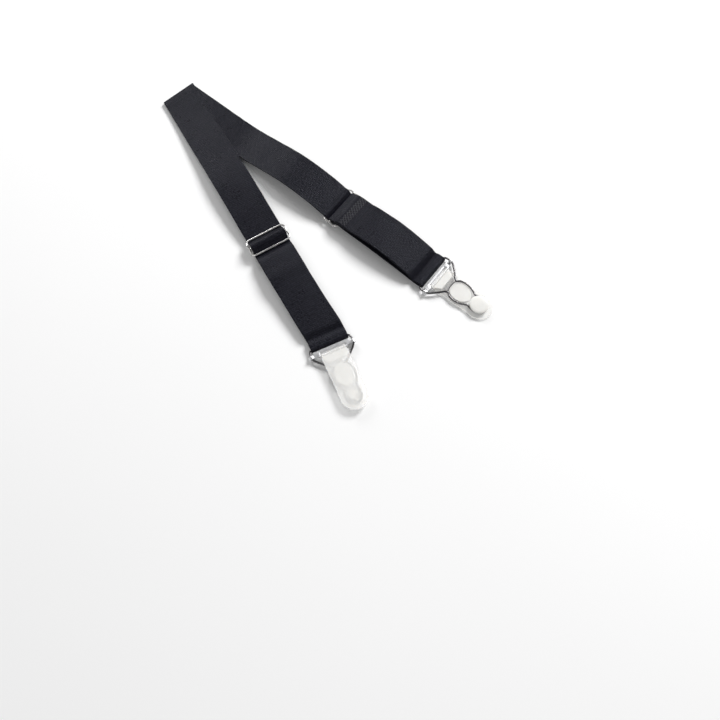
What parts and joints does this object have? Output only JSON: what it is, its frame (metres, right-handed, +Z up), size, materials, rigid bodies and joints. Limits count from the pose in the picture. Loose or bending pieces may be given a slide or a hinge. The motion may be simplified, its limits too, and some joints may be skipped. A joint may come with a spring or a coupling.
{
  "type": "garter suspender",
  "caption": "Elastic garter suspender folded into a V, with a wire slide adjuster and a wire-and-plastic button grip at each end of the strap.",
  "frame": {"origin": "middle of the laid-out V's bounding box, on the surface it lies on", "axes": "+Y from the grips towards the fold, +X towards the leg that lies face down, +Z up"},
  "size_m": [0.1168, 0.2654, 0.0095],
  "materials": {
    "elastic": "fine ribbed satin elastic webbing, near black",
    "thread": "black polyester sewing thread",
    "bright_nickel": "bright nickel plate",
    "dark_nickel": "dark nickel plate on drawn wire",
    "plate_steel": "pressed sheet, lightly polished",
    "milky_plastic": "translucent milky plastic"
  },
  "bodies": {
    "right_leg": {"right_upper_web": "elastic", "strap_fold": "elastic"},
    "left_leg": {"left_upper_web": "elastic"},
    "left_slider": {"left_slider_frame": "bright_nickel", "left_slider_bar": "bright_nickel", "left_sewn_end": "elastic", "left_stitching": "thread"},
    "left_loop_end": {"left_end_fold": "elastic", "left_front_layer": "elastic", "left_back_layer": "elastic"},
    "left_grip": {"left_grip_wire": "dark_nickel", "left_cross_plate": "plate_steel"},
    "left_tongue": {"left_tongue": "milky_plastic", "left_button": "milky_plastic"},
    "right_slider": {"right_slider_frame": "bright_nickel", "right_slider_bar": "bright_nickel", "right_sewn_end": "elastic", "right_stitching": "thread"},
    "right_loop_end": {"right_end_fold": "elastic", "right_front_layer": "elastic", "right_back_layer": "elastic"},
    "right_grip": {"right_grip_wire": "dark_nickel", "right_cross_plate": "plate_steel"},
    "right_tongue": {"right_tongue": "milky_plastic", "right_button": "milky_plastic"}
  },
  "joints": [
    {"name": "fold_hinge", "type": "hinge", "parent": "right_leg", "child": "left_leg", "pos_m": [0.0011, 0.13153, 0.00124], "axis": [-1, 0, 0], "range_deg": [0, 165], "deforming": ["strap_fold"]},
    {"name": "left_slider_slide", "type": "slide", "parent": "left_leg", "child": "left_slider", "axis": [-0.1848, -0.9828, 0], "range_m": [-0.03, 0.06], "deforming": ["left_upper_web"]},
    {"name": "left_loop_slide", "type": "slide", "parent": "left_slider", "child": "left_loop_end", "axis": [-0.1848, -0.9828, 0], "range_m": [-0.03, 0.015], "deforming": ["left_front_layer", "left_back_layer"]},
    {"name": "left_grip_hinge", "type": "hinge", "parent": "left_loop_end", "child": "left_grip", "pos_m": [-0.03868, -0.08001, 0.00219], "axis": [-0.9581, 0.2865, 0], "range_deg": [0, 75]},
    {"name": "left_tongue_hinge", "type": "hinge", "parent": "left_grip", "child": "left_tongue", "pos_m": [-0.04057, -0.08634, 0.00304], "axis": [-0.9581, 0.2865, 0], "range_deg": [0, 100], "deforming": ["left_button"]},
    {"name": "right_slider_slide", "type": "slide", "parent": "right_leg", "child": "right_slider", "axis": [0.1848, -0.9828, 0], "range_m": [-0.03, 0.06], "deforming": ["right_upper_web"]},
    {"name": "right_loop_slide", "type": "slide", "parent": "right_slider", "child": "right_loop_end", "axis": [0.1848, -0.9828, 0], "range_m": [-0.03, 0.015], "deforming": ["right_front_layer", "right_back_layer"]},
    {"name": "right_grip_hinge", "type": "hinge", "parent": "right_loop_end", "child": "right_grip", "pos_m": [0.04208, -0.0864, 0.00219], "axis": [-0.9828, -0.1848, 0], "range_deg": [0, 135]},
    {"name": "right_tongue_hinge", "type": "hinge", "parent": "right_grip", "child": "right_tongue", "pos_m": [0.0433, -0.09289, 0.00134], "axis": [0.9828, 0.1848, 0], "range_deg": [0, 100], "deforming": ["right_button"]}
  ],
  "couplings": [
    {"joint": "left_loop_slide", "follows": "left_slider_slide", "ratio": -0.5},
    {"joint": "right_loop_slide", "follows": "right_slider_slide", "ratio": -0.5}
  ]
}
